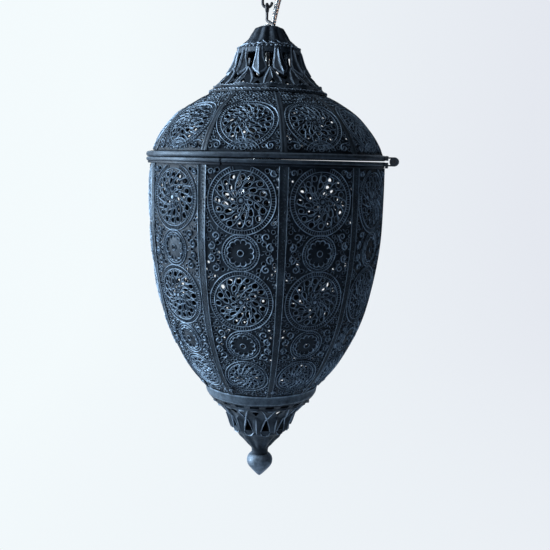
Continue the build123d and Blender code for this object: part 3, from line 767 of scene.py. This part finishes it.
IRON = aged_metal("blackened_iron", (0.004, 0.007, 0.012, 1), (0.013, 0.022, 0.034, 1),
                  (0.33, 0.45, 0.60, 1), rough=(0.46, 0.74))
CASTING = aged_metal("blackened_casting", (0.006, 0.010, 0.016, 1), (0.046, 0.064, 0.088, 1),
                     (0.40, 0.51, 0.66, 1), rough=(0.42, 0.68), grain=0.5)
RIMS = aged_metal("blackened_rim", (0.007, 0.010, 0.016, 1), (0.022, 0.032, 0.046, 1),
                  (0.17, 0.23, 0.30, 1), rough=(0.38, 0.64), edge=0.6, grain=0.25)
STRIPS = aged_metal("blackened_strip", (0.008, 0.013, 0.020, 1), (0.034, 0.050, 0.070, 1),
                    (0.30, 0.40, 0.52, 1), rough=(0.42, 0.66), grain=0.6)
HINGE = aged_metal("worn_hinge", (0.045, 0.052, 0.062, 1), (0.11, 0.125, 0.145, 1),
                   (0.3, 0.32, 0.34, 1), rough=(0.36, 0.58), grain=0.3)
WIRE = aged_metal("dark_wire", (0.05, 0.05, 0.055, 1), (0.10, 0.10, 0.11, 1),
                  (0.3, 0.3, 0.3, 1), rough=(0.3, 0.5), grain=0.2)
ZINC = plain_surface("zinc_plate", (0.42, 0.43, 0.44, 1), (0.56, 0.57, 0.58, 1), (0.28, 0.45), 1.0)
BLACK = plain_surface("black_plastic", (0.012, 0.012, 0.013, 1), (0.03, 0.03, 0.03, 1), (0.4, 0.6))
WHITE = plain_surface("white_plastic", (0.74, 0.72, 0.67, 1), (0.83, 0.81, 0.77, 1), (0.35, 0.5))
BRASS = plain_surface("brass", (0.52, 0.36, 0.13, 1), (0.66, 0.49, 0.21, 1), (0.25, 0.4), 1.0)
NICKEL = plain_surface("nickel_cap", (0.55, 0.54, 0.51, 1), (0.68, 0.67, 0.64, 1), (0.2, 0.35),
                       1.0)
GLASS = plain_surface("clear_bulb_glass", (0.93, 0.94, 0.95, 1), (0.98, 0.98, 0.99, 1),
                      (0.02, 0.06), grain=0.02, transmission=1.0)
JACKET = plain_surface("clear_jacket", (0.88, 0.90, 0.92, 1), (0.95, 0.96, 0.97, 1), (0.05, 0.12),
                       grain=0.03, transmission=0.92)
TINNED = plain_surface("tinned_core", (0.62, 0.62, 0.62, 1), (0.74, 0.74, 0.74, 1), (0.2, 0.35),
                       1.0)
COPPER = plain_surface("copper_core", (0.50, 0.22, 0.11, 1), (0.62, 0.30, 0.16, 1), (0.2, 0.35),
                       1.0)


# ---------------------------------------------------------------- the lantern's pieces

def make_panels():
    for kind, profile, pattern, body in (
        ("body_panel", BODY_SEAM, body_pattern, "lantern_body"),
        ("dome_panel", DOME_SEAM, dome_pattern, "lid"),
    ):
        surface = Surface(profile, FLATTEN)
        data = panel_mesh(kind, surface, pattern(surface), IRON)
        for k in range(GORES):
            obj = add_object(f"pierced_{kind}_{k + 1}", data)
            obj.rotation_euler = (0, 0, GORE_ANGLE * (k + 0.5))
            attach(obj, body)
            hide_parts(f"{kind}_{k + 1}")


def strip_mesh(name, profile, rim_w, far_w, section, marks):
    """Strips over the seams. The section is (share of half width, lift, wear)."""
    surface = Surface(profile)
    build = Build()
    count = int(surface.length / 3.0)
    s = np.linspace(0, surface.length, count)
    half = (rim_w + (far_w - rim_w) * s / surface.length) / 2
    rows, wear = [], []
    for share, lift, worn in section:
        rows.append(surface.point(share * half / surface.radius(s), s, np.full(count, lift)))
        wear.append(np.full(count, worn))
    m = len(section)
    verts = np.stack(rows, 1).reshape(-1, 3)
    faces = grid_faces(count, m, False, True)
    faces += [tuple(range(m)), tuple(range(count * m - 1, (count - 1) * m - 1, -1))]
    build.add(verts, faces, np.stack(wear, 1).reshape(-1))

    def place(u, at, lift):
        return surface.point(u / surface.radius(at), at, lift)

    def flat(u, at):
        return np.full(len(u), 0.47)

    if marks:
        at = 3.0
        while at < surface.length - 3.0:
            wide = (rim_w + (far_w - rim_w) * at / surface.length) / 2 - 2.2
            lean = random.choice([-1, 1])
            for side in (-1, 1):
                line = swirl(side * wide * 0.45, at, 0.2, wide * 0.9, lean * side * 0.9, 1.4, 4)
                add_ridge(build, place, flat, line, 0.9, 0.42, False)
            at += 3.4
    return repeat_round(build, GORES).mesh(name, [STRIPS], crease=50)


def make_strips():
    bead = [(-1.0, 0.05, 0), (-1.0, 0.55, 0.4), (-0.93, 1.0, 0.9), (-0.84, 1.0, 0.8),
            (-0.74, 0.5, 0.1), (0.74, 0.5, 0.1), (0.84, 1.0, 0.8), (0.93, 1.0, 0.9),
            (1.0, 0.55, 0.4), (1.0, 0.05, 0)]
    data = strip_mesh("body_strips_mesh", BODY_SEAM, 9.0, 5.0, bead, True)
    place_object("beaded_body_strips", data, "lantern_body", ["body_strips"])
    smooth = [(-1.0, 0.05, 0), (-0.96, 0.5, 0.3), (-0.70, 0.85, 0.35), (-0.30, 0.82, 0.15),
              (-0.12, 0.62, 0.0), (0.12, 0.62, 0.0), (0.30, 0.82, 0.15), (0.70, 0.85, 0.35),
              (0.96, 0.5, 0.3), (1.0, 0.05, 0)]
    seam = DOME_SEAM[:-2] + [DOME_STRIP_TOP]
    data = strip_mesh("dome_strips_mesh", seam, 6.2, 5.0, smooth, False)
    place_object("plain_dome_strips", data, "lid", ["dome_strips"])


def bead_section(outer_r, h_low, h_high, inner_r, lip=None):
    """A rolled bead with a flat hoop behind it, as one closed section."""
    r = (h_high - h_low) / 2
    middle = (h_high + h_low) / 2
    arc = [(outer_r - r + r * cos(t), middle + r * sin(t)) for t in np.linspace(-1.45, 1.9, 14)]
    back = outer_r - 1.55 * r
    points = list(arc) + [(back, h_high - 0.15), (inner_r, h_high - 0.15)]
    if lip is None:
        return points + [(inner_r, h_low + 0.15), (back, h_low + 0.15)]
    hoop_out, lip_h = lip
    return points + [(inner_r, lip_h), (hoop_out - 0.3, lip_h), (hoop_out, lip_h + 0.35),
                     (hoop_out, h_low - 0.1)]


def make_rims():
    upper = Build()
    section = bead_section(RIM_R, -0.1, 5.2, 108.7)
    wear = [0.25] * 3 + [0.55] * 5 + [0.8] * 6 + [0.1] * (len(section) - 14)
    turned_mesh(upper, section, wear, 200, 0.07, tilt=0.48)
    place_object("rolled_lid_rim", upper.mesh("rolled_lid_rim", [RIMS], 60), "lid", ["lid_rim"])
    lower = Build()
    section = bead_section(RIM_R, -4.4, -0.65, 112.5, (RIM_R - 1.5, -6.5))
    wear = [0.25] * 3 + [0.55] * 5 + [0.9] * 6 + [0.1] * (len(section) - 14)
    turned_mesh(lower, section, wear, 200, 0.07, notch=RIM_NOTCH)
    place_object("rolled_body_rim", lower.mesh("rolled_body_rim", [RIMS], 60), "lantern_body",
                 ["body_rim"])


def lean_back(whole):
    """Turns the upper ends of the crown's leaves a little about Z, as the casting's do."""
    for verts in whole.verts:
        h = verts[:, 2] - RIM_Z
        turn = -np.interp(h, [76.0, 96.0], [0.0, CROWN_LEAN])
        x, y = verts[:, 0].copy(), verts[:, 1].copy()
        verts[:, 0] = x * np.cos(turn) - y * np.sin(turn)
        verts[:, 1] = x * np.sin(turn) + y * np.cos(turn)


def make_crown():
    surface = Surface(CROWN_BASE)
    pitch = 2 * pi / CROWN_LEAVES
    seam = -pitch / 2
    holes = [
        polygon_at(seam, surface, both_sides([(6.0, 100.4), (5.4, 95.4), (3.6, 89.0),
                                              (0.9, 84.4)])),
        polygon_at(0.0, surface, [(-6.6, 80.6), (-4.8, 82.4), (-1.7, 78.4), (0.0, 77.2),
                                  (1.7, 78.4), (3.6, 81.4), (5.0, 80.6), (3.4, 75.8),
                                  (0.0, 73.2), (-4.4, 75.2)]),
    ]
    for a in (seam, 0.0):
        holes.append(polygon_at(a, surface, [(-3.4, 68.8), (0.0, 68.2), (3.4, 68.8),
                                             (1.9, 71.0), (0.0, 72.2), (-1.9, 71.0)]))
        holes.append(polygon_at(a, surface, both_sides([(3.4, 64.9), (3.7, 65.5), (3.4, 66.1)])))
    leaf_h = [78.0, 81.5, 85.0, 89.0, 95.0, 101.0, 107.5]
    leaf_w = [0.3, 4.6, 7.0, 5.9, 3.9, 3.0, 2.6]

    def relief(angle, h, r):
        turn = (angle + pitch / 2) % pitch - pitch / 2
        x = turn * r
        wide = np.interp(h, leaf_h, leaf_w)
        keel = np.clip(1 - np.abs(x) / np.maximum(wide, 0.3), 0, 1)
        rise = np.interp(h, [78.0, 84, 97, 107.5], [3.0, 3.0, 2.0, 0.8])
        lift = np.where((h > 78.0) & (h < 107.5), rise * keel ** 0.8, 0.0)
        under = (np.abs(turn) - pitch / 2) * r
        span = np.interp(h, [67.5, 76, 84.5], [9.6, 5.2, 0.3])
        lower = np.clip(1 - np.abs(under) / span, 0, 1)
        lift = np.where((h > 67.5) & (h < 84.5), np.maximum(lift, 2.2 * lower), lift)
        flute = 2.7 * np.abs(np.cos(turn * pi / pitch)) ** 1.5
        fade = np.interp(h, [107.6, 110.5, 118, 125.0, 126.2], [0.0, 1.0, 1.0, 0.55, 0.0])
        lift = np.where(h > 107.6, lift + flute * fade, lift)
        band = np.interp(h, [101.2, 102.6, 105.0, 107.0], [0, 0.8, 1.3, 0], left=0, right=0)
        return lift + band

    def line(points, angle=0.0):
        return polygon_at(angle, surface, points)

    ridges = [
        (line([(0, 106.5), (0, 100), (0, 93), (0, 87), (0, 82.5), (0, 78.6)]), 3.2, 1.0),
        (line([(-2.6, 105), (-2.8, 101), (-3.6, 95), (-5.6, 89.0), (-6.6, 84.6), (-4.2, 81.4),
               (0, 78.0), (4.2, 81.4), (6.6, 84.6), (5.6, 89.0), (3.6, 95), (2.8, 101),
               (2.6, 105)]), 2.3, 0.9),
        (line([(-8.6, 68.6), (-6.8, 74), (-2.8, 80.6), (0, 84.2), (2.8, 80.6), (6.8, 74),
               (8.6, 68.6)], seam), 2.6, 1.1),
        (line([(0, 83), (0, 77), (0, 72.5)], seam), 1.6, 0.7),
    ]
    first = pitch * (SECTOR_SPLIT - 1)
    for a in (0.0, seam):
        ridges.append((line([(-5.6, 109.8), (-4.0, 108.2), (-1.6, 107.4), (1.6, 107.4),
                             (4.0, 108.2), (5.6, 109.8)], a), 1.4, 1.0))
    for step in range(8):
        a = first + pitch * (step + 0.5) / 8
        tilt = 0.5 if step % 2 else -0.5
        ridges.append((line([(-2.0, 63.4 + tilt), (-0.6, 64.0), (1.0, 63.4),
                             (2.0, 62.8 + tilt)], a), 1.3, 1.0))
        ridges.append((line([(-2.3, 67.3), (-0.8, 67.8), (0.8, 67.8), (2.3, 67.3)], a),
                       1.1, 0.8))
    mounds = [(first + pitch * (q + 0.5) / 4, 105.4, 1.9, 1.3, 0, 1.5) for q in range(4)]
    whole = cast_mesh(CROWN_BASE, holes, relief, ridges, mounds, CROWN_LEAVES, CROWN_LEAF_ANGLE,
                      CROWN_CAST)
    lean_back(whole)
    cap = [(0.0, 127.5), (5.0, 127.5), (9.15, 127.25), (9.15, 125.0), (0.0, 124.6)]
    turned_mesh(whole, cap, [0.3, 0.4, 0.3, 0, 0], 60, 0.0, closed=False)
    data = whole.mesh("openwork_crown", [CASTING], 42, weld=0.02)
    place_object("openwork_crown", data, "lid", ["crown_upper"])


def make_tail():
    surface = Surface(TAIL_BASE)
    pitch = 2 * pi / TAIL_LEAVES
    seam = -pitch / 2
    holes = [
        polygon_at(seam, surface, [(-4.0, -272.2), (-3.6, -273.2), (3.6, -273.2), (4.0, -272.2),
                                   (2.2, -265.6), (0.7, -260.2), (-0.7, -260.2), (-2.2, -265.6)]),
        polygon_at(0.0, surface, [(-3.6, -250.2), (-1.8, -252.6), (0.0, -255.0), (1.8, -252.6),
                                  (3.6, -250.2), (1.8, -248.8), (0.0, -248.4), (-1.8, -248.8)]),
    ]
    for a in (seam, 0.0):
        holes.append(polygon_at(a, surface, [(-4.2, -243.0), (-4.8, -241.4), (-4.2, -239.8),
                                             (4.2, -239.8), (4.8, -241.4), (4.2, -243.0)]))

    def relief(angle, h, r):
        turn = (angle + pitch / 2) % pitch - pitch / 2
        x = turn * r
        wide = np.interp(h, [-275, -267, -260, -257], [3.4, 5.4, 4.2, 1.0])
        keel = np.clip(1 - np.abs(x) / wide, 0, 1)
        lift = np.where((h < -257) & (h > -275), 2.4 * keel ** 0.8, 0.0)
        under = (np.abs(turn) - pitch / 2) * r
        span = np.interp(h, [-260, -252, -244.6], [0.3, 4.4, 8.0])
        lower = np.clip(1 - np.abs(under) / span, 0, 1)
        lift = np.where((h > -260) & (h < -244.6), np.maximum(lift, 1.9 * lower), lift)
        flute = 2.2 * np.abs(np.cos(turn * pi / pitch)) ** 1.5
        fade = np.interp(h, [-300.5, -295, -284, -279.5], [0, 0.7, 1, 0], left=0, right=0)
        lip = np.interp(h, [-245.8, -244.4, -243.2], [0, 1.1, 0], left=0, right=0)
        lip2 = np.interp(h, [-279.6, -277.4, -275.2], [0, 1.3, 0], left=0, right=0)
        return lift + flute * fade + lip + lip2

    def line(points, angle=0.0):
        return polygon_at(angle, surface, points)

    ridges = [
        (line([(0, -258.0), (0, -264), (0, -270), (0, -274.6)]), 1.8, 0.9),
        (line([(-4.7, -274.0), (-3.2, -267.0), (-1.2, -260.2), (0.8, -255.4), (4.0, -248.6),
               (6.6, -245.4)], seam), 2.7, 1.4),
        (line([(4.7, -274.0), (3.2, -267.0), (1.2, -260.2), (-0.8, -255.4), (-4.0, -248.6),
               (-6.6, -245.4)], seam), 1.9, 1.3),
        (line([(-5.2, -274.6), (-3.0, -277.2), (0, -278.4), (3.0, -277.2), (5.2, -274.6)], seam),
         1.8, 1.2),
    ]
    for q in range(2):
        a = pitch * (SECTOR_SPLIT - 1) + pitch * (q + 0.5) / 2
        ridges.append((line([(-5.4, -245.4), (-1.8, -244.6), (1.8, -244.6), (5.4, -245.4)], a),
                       1.3, 0.8))
    whole = cast_mesh(TAIL_BASE, holes, relief, ridges, [], TAIL_LEAVES, TAIL_LEAF_ANGLE,
                      TAIL_CAST)
    data = whole.mesh("openwork_tail", [CASTING], 42, weld=0.02)
    place_object("openwork_tail", data, "lantern_body", ["crown_lower"])


def make_turned_pieces():
    base = Build()
    outer = smooth_curve(COLLAR_OUT, 5)
    section = [tuple(p) for p in outer] + [(r - 2.1, h) for r, h in outer[::-1]]
    wear = [0.85] * 2 + [0.45] * (len(outer) - 4) + [0.85] * 2 + [0.0] * len(outer)
    turned_mesh(base, section, wear, 160, 0.05)
    place_object("smooth_collar", base.mesh("smooth_collar", [STRIPS], 50), "lantern_body",
                 ["collar"])
    knob = Build()
    outer = smooth_curve(FINIAL_OUT, 5)
    section = [(2.3, -307.2)] + [(max(r, 0.01), h) for r, h in outer]
    turned_mesh(knob, section, [0.6] * len(section), 72, 0.05, closed=False)
    place_object("heart_finial", knob.mesh("heart_finial", [CASTING], 60), "lantern_body",
                 ["finial"])


FLEX_PATH = [
    (23.4, 0.0, -12.6), (19.4, 0.0, -20.6), (14.6, 0.2, -30.4), (9.0, 1.2, -42.0),
    (5.2, 3.4, -55.6), (2.2, 6.0, -70.3), (-0.6, 8.43, -84.02), (-2.6, 10.0, -97.5),
    (-3.4, 10.6, -111.0), (-3.0, 10.0, -124.0), (-2.2, 9.4, -137.4),
]


def make_flex():
    """Flat twin flex: a clear jacket round a tinned and a copper core."""
    path = smooth_curve(FLEX_PATH, 8)
    n = len(path)
    run = np.gradient(path, axis=0)
    run /= np.linalg.norm(run, axis=1)[:, None]
    build = Build()
    share = np.linspace(0, 1, n)
    twist = radians(8) + radians(86) * np.clip(share / 0.55, 0, 1)
    apart = 1.9 - 0.5 * np.clip(share / 0.45, 0, 1)
    frames = []
    for i in range(n):
        wide = np.array([cos(twist[i]), sin(twist[i]), 0.0])
        wide -= run[i] * wide.dot(run[i])
        wide /= np.linalg.norm(wide)
        frames.append((wide, np.cross(run[i], wide)))
    profile = []
    for t in np.linspace(0, 2 * pi, 28, endpoint=False):
        lobe = 1.0 if cos(t) >= 0 else -1.0
        waist = 0.72 + 0.28 * abs(cos(t)) ** 0.5
        profile.append((lobe, cos(t), sin(t) * waist))
    loops = [([(lobe * apart, c * 1.9, s * 1.9) for lobe, c, s in profile], 0)]
    for side, mat in ((-1, 1), (1, 2)):
        ring = [(side * apart, 1.0 * cos(t), 1.0 * sin(t)) for t in np.arange(10) * 2 * pi / 10]
        loops.append((ring, mat))
    for loop, mat in loops:
        m = len(loop)
        verts = np.zeros((n, m, 3))
        for q, (offset, c, s) in enumerate(loop):
            for i in range(n):
                wide, deep = frames[i]
                verts[i, q] = path[i] + wide * (offset[i] + c) + deep * s
        faces = [f[:1] + f[:0:-1] for f in grid_faces(n, m, False, True)]
        faces += [tuple(range(m - 1, -1, -1)), tuple(range((n - 1) * m, n * m))]
        build.add(verts.reshape(-1, 3), faces, 0.0, mat)
    data = build.mesh("twin_flex", [JACKET, TINNED, COPPER], 60)
    flex = add_object("twin_flex", data)
    start, end = Vector((0.0150, 0, -0.0300)), Vector((0.0036, 0.005, -0.0650))
    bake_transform(flex)
    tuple(start)
    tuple(end)
    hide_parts("flex_upper", "flex_lower")


CAD_LOOKS = {
    ZINC: ["ceiling_bracket", "hook_nuts", "canopy_screws", "rod_nut", "stem_nuts", "lamp_stem",
           "tie_bar", "tie_rod", "tie_nut"],
    WIRE: ["ceiling_hook", "eye_rod", "hinge_pin", "catch_rivet", "catch_stud"],
    HINGE: ["hinge_leaf_upper", "hinge_leaf_lower", "catch_tongue"],
    RIMS: ["canopy_cup"],
    BLACK: ["canopy_bush", "lampholder_cap", "lampholder_shell", "lampholder_ring", "bulb_tip"],
    WHITE: ["terminal_block", "lampholder_insulator"],
    BRASS: ["lampholder_thread", "lampholder_contact"],
    NICKEL: ["bulb_cap"],
    GLASS: ["bulb_glass"],
}
ROUNDED = {"ceiling_bracket": 0.35, "hook_nuts": 0.25, "rod_nut": 0.25, "stem_nuts": 0.25,
           "tie_bar": 0.35, "tie_nut": 0.3, "canopy_cup": 0.3, "hinge_leaf_upper": 0.35,
           "hinge_leaf_lower": 0.35, "catch_tongue": 0.25, "canopy_bush": 0.3,
           "lampholder_ring": 0.3, "terminal_block": 0.5, "catch_rivet": 0.3, "catch_stud": 0.3}


def dress_cad_nodes():
    """Materials, smooth shading and rounded edges for the pieces shown as they are."""
    for material, names in CAD_LOOKS.items():
        for name in names:
            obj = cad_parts[name]
            obj.data.materials.clear()
            obj.data.materials.append(material)
            obj.data.shade_smooth()
            obj.data.set_sharp_from_angle(angle=radians(35))
            if name in ROUNDED:
                bevel = obj.modifiers.new("rounded_edges", "BEVEL")
                bevel.width = ROUNDED[name] * MM
                bevel.segments = 2
                bevel.limit_method = "ANGLE"
                bevel.angle_limit = radians(40)
                bevel.use_clamp_overlap = True
                bevel.harden_normals = True


# ---------------------------------------------------------------- stage, light and camera

def show_backdrop_with_painted_shade(tree, shader):
    """Makes the backdrop glow for camera rays as a pale paper, with painted shade that turns it a
    little greyer to the right.
    """
    glow = node(tree, "ShaderNodeEmission")
    coords = node(tree, "ShaderNodeSeparateXYZ")
    tree.links.new(node(tree, "ShaderNodeTexCoord").outputs["Object"], coords.inputs[0])
    # Painted shade: the glow goes from pale on the left to greyer on the right.
    across = remap(tree, coords.outputs["X"], -0.6, 1.0, 0.0, 1.0)
    tree.links.new(mix_colour(tree, across, (0.90, 0.96, 0.98, 1), (0.78, 0.81, 0.87, 1)),
                   glow.inputs["Color"])
    both = node(tree, "ShaderNodeMixShader")
    tree.links.new(node(tree, "ShaderNodeLightPath").outputs["Is Camera Ray"], both.inputs[0])
    tree.links.new(shader.outputs[0], both.inputs[1])
    tree.links.new(glow.outputs[0], both.inputs[2])
    tree.links.new(both.outputs[0], tree.nodes["Material Output"].inputs["Surface"])


def make_stage():
    paper, tree, shader, coords = start_material("pale_backdrop")
    cloud = remap(tree, noise(tree, coords, 2.5, 2.0), 0.3, 0.7, 0.0, 1.0)
    tint = mix_colour(tree, cloud, (0.52, 0.55, 0.60, 1), (0.56, 0.59, 0.64, 1))
    tree.links.new(tint, shader.inputs["Base Color"])
    shader.inputs["Roughness"].default_value = 0.9
    # The backdrop glows for camera rays, with painted shade greyer to the right.
    show_backdrop_with_painted_shade(tree, shader)
    back, low, bend, side = 2.2, -0.80, 0.8, 4.0  # metres, as are all lengths from here on
    profile = [(-3.5, low), (back - bend, low)]
    profile += [(back - bend + bend * sin(t), low + bend - bend * cos(t))
                for t in np.linspace(0.1, pi / 2, 14)]
    profile += [(back, 3.5)]
    verts = []
    for x in (-side, side):
        verts += [(x, y, z) for y, z in profile]
    m = len(profile)
    faces = [(i, i + m, i + m + 1, i + 1) for i in range(m - 1)]
    data = bpy.data.meshes.new("backdrop")
    data.from_pydata(verts, [], faces)
    data.materials.append(paper)
    data.shade_smooth()
    backdrop = add_object("backdrop", data)
    backdrop.rotation_euler = (0, 0, CAMERA_TURN)


def area_light(name, place, aim, size, power, colour):
    data = bpy.data.lights.new(name, "AREA")
    data.shape = "RECTANGLE"
    data.size, data.size_y = size
    data.energy = power
    data.color = colour
    light = add_object(name, data)
    light.location = place
    light.rotation_mode = "QUATERNION"
    light.rotation_quaternion = (Vector(aim) - Vector(place)).to_track_quat("-Z", "Y")


CAMERA_TURN = radians(10.5)
CAMERA_OUT = 0.780
CAMERA_Z = -0.200
PITCH, YAW, ROLL = radians(8.40), radians(-0.84), radians(1.45)
LENS = 50.505
ROOM_GLOW = (0.0, 0.62)  # the room's strength to the right and to the left


def make_camera():
    data = bpy.data.cameras.new("camera")
    data.sensor_width = 36.0
    data.lens = LENS
    data.clip_start, data.clip_end = 0.05, 50
    camera = add_object("camera", data)
    away = Vector((sin(CAMERA_TURN), -cos(CAMERA_TURN), 0))
    turn = Matrix.Rotation(CAMERA_TURN + YAW, 4, "Z") @ Matrix.Rotation(pi / 2 - PITCH, 4, "X")
    turn = turn @ Matrix.Rotation(ROLL, 4, "Z")
    camera.matrix_world = Matrix.Translation(away * CAMERA_OUT + Vector((0, 0, CAMERA_Z))) @ turn
    bpy.context.scene.camera = camera


def make_light():
    """A pale room that is bright to the left and dim to the right of the camera's view."""
    world = bpy.data.worlds.new("studio")
    bpy.context.scene.world = world
    world.use_nodes = True
    tree = world.node_tree
    room = tree.nodes["Background"]
    across = node(tree, "ShaderNodeVectorMath", operation="DOT_PRODUCT")
    tree.links.new(node(tree, "ShaderNodeTexCoord").outputs["Generated"], across.inputs[0])
    across.inputs[1].default_value = (-cos(CAMERA_TURN), -sin(CAMERA_TURN), 0.25)
    glow = remap(tree, across.outputs["Value"], -0.55, 0.9, *ROOM_GLOW)
    total = node(tree, "ShaderNodeMath", operation="MAXIMUM")
    tree.links.new(glow, total.inputs[0])
    tree.links.new(node(tree, "ShaderNodeLightPath").outputs["Is Camera Ray"], total.inputs[1])
    room.inputs["Color"].default_value = (0.80, 0.90, 1.0, 1)
    tree.links.new(total.outputs[0], room.inputs["Strength"])
    area_light("left_window", (-1.75, -0.35, 0.15), (0, 0, -0.25), (1.2, 1.8), 138,
               (0.76, 0.90, 1.0))
    area_light("top_soft", (-0.5, -0.9, 1.4), (0, 0, -0.2), (1.0, 1.0), 6, (0.86, 0.94, 1.0))


make_panels()
make_strips()
make_rims()
make_crown()
make_tail()
make_turned_pieces()
make_flex()
dress_cad_nodes()
make_stage()
make_camera()
make_light()
bpy.context.scene.view_settings.view_transform = "Standard"
